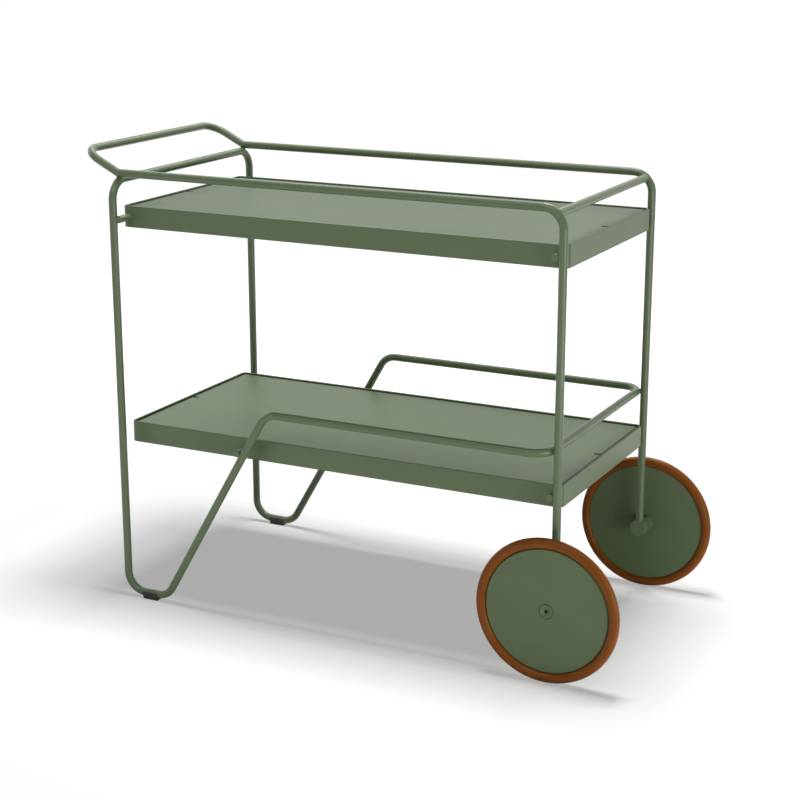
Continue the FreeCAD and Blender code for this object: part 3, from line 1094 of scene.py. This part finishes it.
@dataclass
class Studio:
    """The pale floor, the lamps and the white surround.

    The floor's paper is lifted to white by a glow that grows from lift_start to lift_end metres
    from the cart, so that only the cart's own shadow shows on it. It has one tone where it is seen
    and another for the light that it sends back to the cart.
    """

    floor_half: float = 40.0
    floor_seen: str = "#c6c6c6"
    floor_bounce: str = "#ececec"
    floor_lift: float = 0.396
    lift_start: float = 0.9
    lift_end: float = 1.9
    ambient: float = 0.01
    white: tuple[float, float, float, float] = (1.0, 1.0, 1.0, 1.0)

    def seen_rays(self, tree: bpy.types.NodeTree) -> bpy.types.NodeSocket:
        """Tells the rays that see the surround from the rays that light the cart.

        Args:
            tree: The tree of the floor or the world.

        Returns:
            A socket that is 1 for camera, glossy and transmission rays, and 0 for the others.
        """
        path = add_node(tree, "ShaderNodeLightPath")
        shine = add_node(tree, "ShaderNodeMath", {"operation": "MAXIMUM"}, {
            0: path.outputs["Is Glossy Ray"], 1: path.outputs["Is Transmission Ray"]})
        seen = add_node(tree, "ShaderNodeMath", {"operation": "MAXIMUM"}, {
            0: path.outputs["Is Camera Ray"], 1: shine.outputs["Value"]})
        return seen.outputs["Value"]

    def floor(self) -> bpy.types.Object:
        """Lays the floor.

        Returns:
            The floor.
        """
        mesh = bmesh.new()
        bmesh.ops.create_grid(mesh, x_segments=1, y_segments=1, size=self.floor_half)
        data = bpy.data.meshes.new("studio_floor")
        mesh.to_mesh(data)
        mesh.free()
        sheet = bpy.data.objects.new("studio_floor", data)
        bpy.context.scene.collection.objects.link(sheet)
        sheet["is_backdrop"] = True
        data.materials.append(self.paper())
        return sheet

    def paper(self) -> bpy.types.Material:
        """Makes the floor's paper, which is white away from the cart and keeps its shadow.

        Returns:
            The material.
        """
        made = bpy.data.materials.new("matt white studio paper")
        tree = empty_tree(made)
        place = add_node(tree, "ShaderNodeTexCoord").outputs["Object"]
        reach = add_node(tree, "ShaderNodeVectorMath", {"operation": "LENGTH"}, {0: place})
        lift = add_node(tree, "ShaderNodeMapRange", {"interpolation_type": "SMOOTHSTEP"}, {
            "Value": reach.outputs["Value"], "From Min": self.lift_start,
            "From Max": self.lift_end, "To Min": self.floor_lift, "To Max": 1.0})
        glow = add_node(tree, "ShaderNodeEmission", None, {"Strength": lift.outputs["Result"]})
        paper = add_node(tree, "ShaderNodeBsdfDiffuse", None, {"Color": linear(self.floor_seen)})
        lit = add_node(tree, "ShaderNodeAddShader", None, {
            0: paper.outputs["BSDF"], 1: glow.outputs["Emission"]})
        bounce = add_node(tree, "ShaderNodeBsdfDiffuse", None, {
            "Color": linear(self.floor_bounce)})
        mix = add_node(tree, "ShaderNodeMixShader", None, {
            0: self.seen_rays(tree), 1: bounce.outputs["BSDF"], 2: lit.outputs["Shader"]})
        add_node(tree, "ShaderNodeOutputMaterial", None, {"Surface": mix.outputs["Shader"]})
        return made

    def surround(self) -> None:
        """Makes the world: white where it is seen, a soft fill where it only lights."""
        world = bpy.data.worlds.new("white surround")
        bpy.context.scene.world = world
        tree = empty_tree(world)
        fill = add_node(tree, "ShaderNodeBackground", None, {
            "Color": self.white, "Strength": self.ambient})
        seen = add_node(tree, "ShaderNodeBackground", None, {
            "Color": self.white, "Strength": 1.0})
        mix = add_node(tree, "ShaderNodeMixShader", None, {
            0: self.seen_rays(tree), 1: fill.outputs["Background"], 2: seen.outputs["Background"]})
        add_node(tree, "ShaderNodeOutputWorld", None, {"Surface": mix.outputs["Shader"]})

    def lit_groups(self) -> dict[Lit, bpy.types.Collection]:
        """Sorts the cart's pieces by the lamps that light them.

        Returns:
            The collection of each group, the floor's still empty.
        """
        groups = {lit: bpy.data.collections.new(lit.value) for lit in Lit}
        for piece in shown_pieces():
            groups[Lit.CART].objects.link(piece)
            if not piece.name.endswith("tray_sheet"):
                groups[Lit.EDGES].objects.link(piece)
            elif piece.name.startswith(Level.LOWER.value):
                groups[Lit.SHELF].objects.link(piece)
        return groups

    def build(self) -> None:
        """Sets up the floor, the surround and the lamps."""
        bpy.context.scene.view_settings.view_transform = "Standard"
        groups = self.lit_groups()
        groups[Lit.FLOOR].objects.link(self.floor())
        self.surround()
        for lamp in LAMPS:
            lamp.build(groups[lamp.lights])


@dataclass
class PhotoCamera:
    """The camera at the photo's place and angle."""

    place: tuple[float, float, float] = (1.387378, -2.757672, 1.23662)
    round_degrees: float = 26.626
    down_degrees: float = 15.674
    lens: float = 80.328
    sensor: float = 36.0
    far_clip: float = 200.0

    def build(self) -> None:
        """Sets the camera up."""
        data = bpy.data.cameras.new("photo_camera")
        data.lens, data.sensor_width = self.lens, self.sensor
        data.clip_end = self.far_clip
        camera = bpy.data.objects.new("photo_camera", data)
        camera.location = self.place
        camera.rotation_euler = (
            math.radians(90 - self.down_degrees), 0, math.radians(self.round_degrees))
        bpy.context.scene.collection.objects.link(camera)
        bpy.context.scene.camera = camera


def main() -> None:
    """Dresses the cart and sets up the studio."""
    logging.basicConfig(level=logging.INFO, format="%(message)s")
    dress_frame()
    for side in Side:
        Wheel(side).build()
        Foot(side).build()
    for level in Level:
        Tray(level).build()
    Welds().build()
    Studio().build()
    PhotoCamera().build()


if __name__ == "__main__":
    main()
